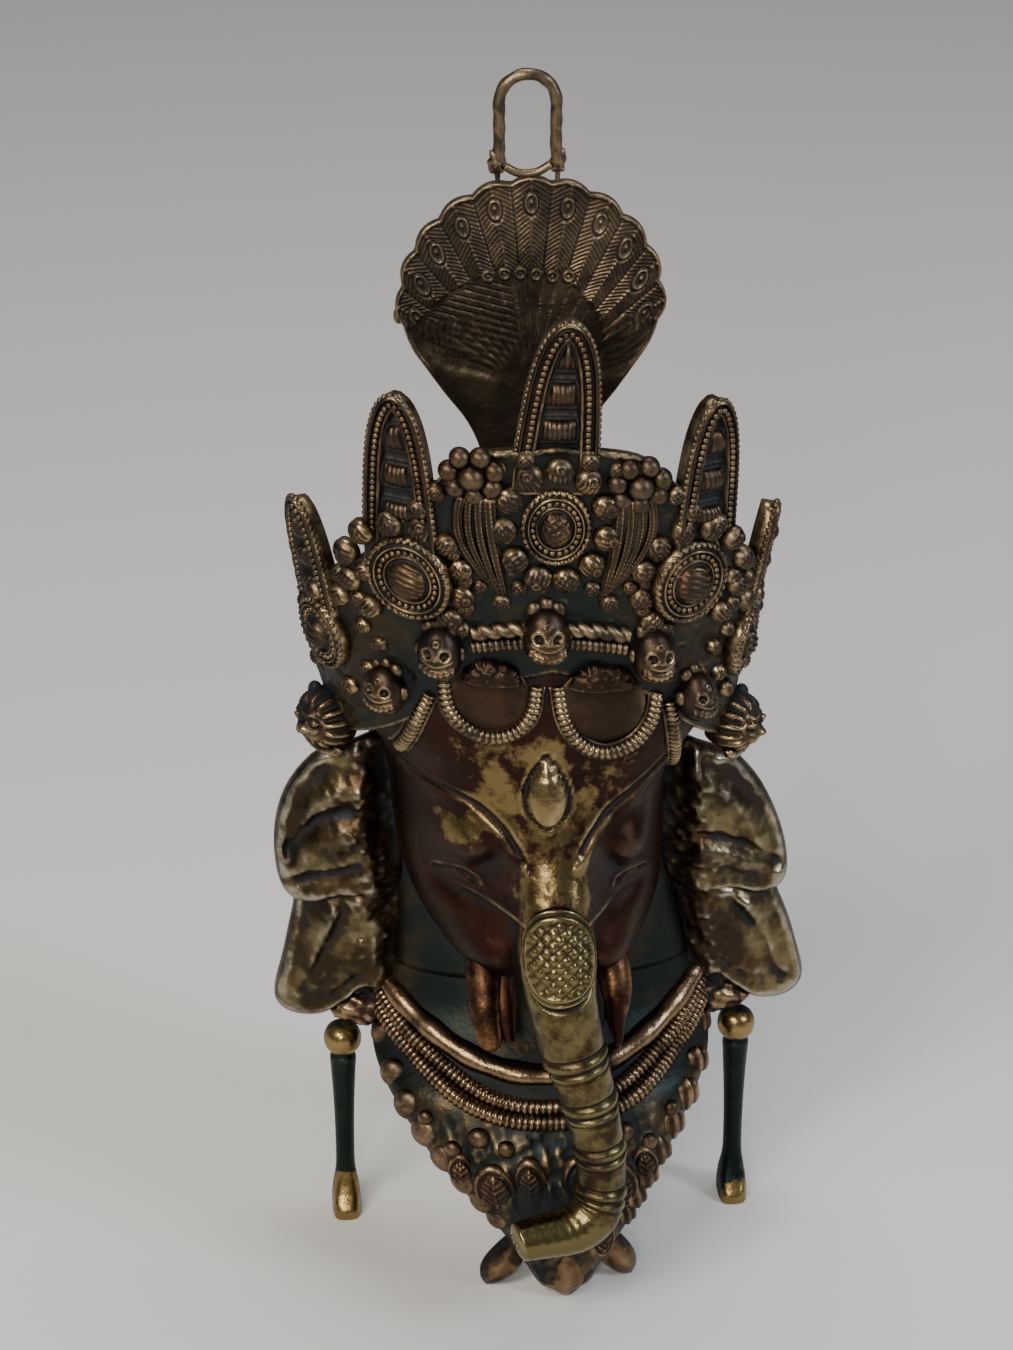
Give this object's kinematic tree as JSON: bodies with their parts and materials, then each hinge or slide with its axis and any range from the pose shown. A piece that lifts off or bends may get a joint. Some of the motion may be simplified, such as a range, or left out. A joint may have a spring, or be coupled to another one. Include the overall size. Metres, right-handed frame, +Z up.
{
  "type": "ganesha mask",
  "caption": "Cast metal elephant-headed mask with a leafed crown, a peacock-tail hanger with a loop, and small legs it stands on.",
  "frame": {"origin": "middle of the base: below the middle of the whole object's box, on the surface the feet and the pendant tip stand on", "axes": "+Z up, the face looks along -Y, the open back faces +Y, +X is the viewer's right"},
  "size_m": [0.202, 0.11, 0.4586],
  "materials": {
    "cast_bronze": "cast bronze, dark brown and olive-gold patina rubbed bright on the high places",
    "brown_bronze": "cast bronze plate, even mid-brown patina",
    "dark_bronze": "cast bronze, green-black patina, worn bright on the heads and feet"
  },
  "bodies": {
    "root": {"mask": "cast_bronze", "peacock_fan": "brown_bronze", "leg_left": "dark_bronze", "leg_right": "dark_bronze"}
  },
  "joints": []
}
